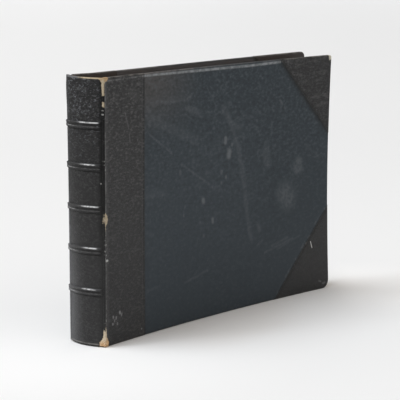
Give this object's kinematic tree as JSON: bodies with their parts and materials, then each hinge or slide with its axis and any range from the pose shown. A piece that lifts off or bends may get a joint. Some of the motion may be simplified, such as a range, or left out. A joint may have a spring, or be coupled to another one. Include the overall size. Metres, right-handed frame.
{
  "type": "photograph album",
  "caption": "Oblong half-leather photograph album with raised spine bands, bowed cloth covers and card leaves that fan on linen guards when a cover opens.",
  "frame": {"origin": "under the middle of the album, on the surface that its tail edges stand on", "axes": "+X from the spine to the fore-edge, -Y out of the front cover, +Z from tail to head"},
  "size_m": [0.386, 0.0474, 0.265],
  "materials": {
    "leather": "worn goatskin, semi-matt",
    "book_cloth": "fine-grained book cloth, faintly glossy",
    "millboard": "matt",
    "endpaper": "matt, aged",
    "lining_paper": "matt",
    "leaf_card": "matt, toned at the edges",
    "linen": "plain weave",
    "thread": "waxed",
    "silk": "worked in two colours",
    "print": "albumen gloss"
  },
  "bodies": {
    "spine": {"spine_leather": "leather", "spine_stiffener": "millboard", "spine_hollow": "lining_paper", "spine_lining": "linen", "sewing_tapes": "linen", "sewing_thread": "thread", "guard_stubs": "linen", "head_band": "silk", "tail_band": "silk", "raised_band_1": "millboard", "raised_band_2": "millboard", "raised_band_3": "millboard", "raised_band_4": "millboard", "raised_band_5": "millboard"},
    "front_cover": {"front_board": "millboard", "front_joint_leather": "leather", "front_cloth": "book_cloth", "front_head_corner": "leather", "front_tail_corner": "leather", "front_infill": "lining_paper", "front_pastedown": "endpaper"},
    "front_free_endpaper": {"front_endpaper": "endpaper"},
    "leaf_01": {"leaf_01": "leaf_card", "guard_01": "linen", "prints_01": "print"},
    "leaf_02": {"leaf_02": "leaf_card", "guard_02": "linen", "prints_02": "print"},
    "leaf_03": {"leaf_03": "leaf_card", "guard_03": "linen", "prints_03": "print"},
    "leaf_04": {"leaf_04": "leaf_card", "guard_04": "linen", "prints_04": "print"},
    "leaf_05": {"leaf_05": "leaf_card", "guard_05": "linen", "prints_05": "print"},
    "leaf_06": {"leaf_06": "leaf_card", "guard_06": "linen", "prints_06": "print"},
    "leaf_07": {"leaf_07": "leaf_card", "guard_07": "linen", "prints_07": "print"},
    "leaf_08": {"leaf_08": "leaf_card", "guard_08": "linen", "prints_08": "print"},
    "leaf_09": {"leaf_09": "leaf_card", "guard_09": "linen", "prints_09": "print"},
    "leaf_10": {"leaf_10": "leaf_card", "guard_10": "linen", "prints_10": "print"},
    "back_free_endpaper": {"back_endpaper": "endpaper"},
    "back_cover": {"back_board": "millboard", "back_joint_leather": "leather", "back_cloth": "book_cloth", "back_head_corner": "leather", "back_tail_corner": "leather", "back_infill": "lining_paper", "back_pastedown": "endpaper"}
  },
  "joints": [
    {"name": "front_cover_hinge", "type": "hinge", "parent": "spine", "child": "front_cover", "pos_m": [-0.185, -0.0225, 0.1325], "axis": [0, 0, -1], "range_deg": [0, 178]},
    {"name": "back_cover_hinge", "type": "hinge", "parent": "spine", "child": "back_cover", "pos_m": [-0.185, 0.0225, 0.1325], "axis": [0, 0, 1], "range_deg": [0, 178]},
    {"name": "front_free_endpaper_turn", "type": "hinge", "parent": "spine", "child": "front_free_endpaper", "pos_m": [-0.1691, -0.01477, 0.1325], "axis": [0, 0, -1], "range_deg": [0, 92]},
    {"name": "leaf_01_turn", "type": "hinge", "parent": "spine", "child": "leaf_01", "pos_m": [-0.1691, -0.01197, 0.1325], "axis": [0, 0, -1], "range_deg": [0, 74]},
    {"name": "leaf_02_turn", "type": "hinge", "parent": "spine", "child": "leaf_02", "pos_m": [-0.1691, -0.00917, 0.1325], "axis": [0, 0, -1], "range_deg": [0, 59]},
    {"name": "leaf_03_turn", "type": "hinge", "parent": "spine", "child": "leaf_03", "pos_m": [-0.1691, -0.00637, 0.1325], "axis": [0, 0, -1], "range_deg": [0, 44]},
    {"name": "leaf_04_turn", "type": "hinge", "parent": "spine", "child": "leaf_04", "pos_m": [-0.1691, -0.00358, 0.1325], "axis": [0, 0, -1], "range_deg": [0, 30]},
    {"name": "leaf_05_turn", "type": "hinge", "parent": "spine", "child": "leaf_05", "pos_m": [-0.1691, -0.00078, 0.1325], "axis": [0, 0, -1], "range_deg": [0, 15]},
    {"name": "leaf_06_turn", "type": "hinge", "parent": "spine", "child": "leaf_06", "pos_m": [-0.1691, 0.00201, 0.1325], "axis": [0, 0, 1], "range_deg": [0, 15]},
    {"name": "leaf_07_turn", "type": "hinge", "parent": "spine", "child": "leaf_07", "pos_m": [-0.1691, 0.00481, 0.1325], "axis": [0, 0, 1], "range_deg": [0, 30]},
    {"name": "leaf_08_turn", "type": "hinge", "parent": "spine", "child": "leaf_08", "pos_m": [-0.1691, 0.00761, 0.1325], "axis": [0, 0, 1], "range_deg": [0, 44]},
    {"name": "leaf_09_turn", "type": "hinge", "parent": "spine", "child": "leaf_09", "pos_m": [-0.1691, 0.01041, 0.1325], "axis": [0, 0, 1], "range_deg": [0, 59]},
    {"name": "leaf_10_turn", "type": "hinge", "parent": "spine", "child": "leaf_10", "pos_m": [-0.1691, 0.0132, 0.1325], "axis": [0, 0, 1], "range_deg": [0, 74]},
    {"name": "back_free_endpaper_turn", "type": "hinge", "parent": "spine", "child": "back_free_endpaper", "pos_m": [-0.1691, 0.016, 0.1325], "axis": [0, 0, 1], "range_deg": [0, 92]}
  ],
  "couplings": [
    {"joint": "front_free_endpaper_turn", "follows": "front_cover_hinge", "ratio": 0.51685},
    {"joint": "leaf_01_turn", "follows": "front_cover_hinge", "ratio": 0.41573},
    {"joint": "leaf_02_turn", "follows": "front_cover_hinge", "ratio": 0.33146},
    {"joint": "leaf_03_turn", "follows": "front_cover_hinge", "ratio": 0.24719},
    {"joint": "leaf_04_turn", "follows": "front_cover_hinge", "ratio": 0.16854},
    {"joint": "leaf_05_turn", "follows": "front_cover_hinge", "ratio": 0.084269},
    {"joint": "leaf_06_turn", "follows": "back_cover_hinge", "ratio": 0.084269},
    {"joint": "leaf_07_turn", "follows": "back_cover_hinge", "ratio": 0.16854},
    {"joint": "leaf_08_turn", "follows": "back_cover_hinge", "ratio": 0.24719},
    {"joint": "leaf_09_turn", "follows": "back_cover_hinge", "ratio": 0.33146},
    {"joint": "leaf_10_turn", "follows": "back_cover_hinge", "ratio": 0.41573},
    {"joint": "back_free_endpaper_turn", "follows": "back_cover_hinge", "ratio": 0.51685}
  ]
}
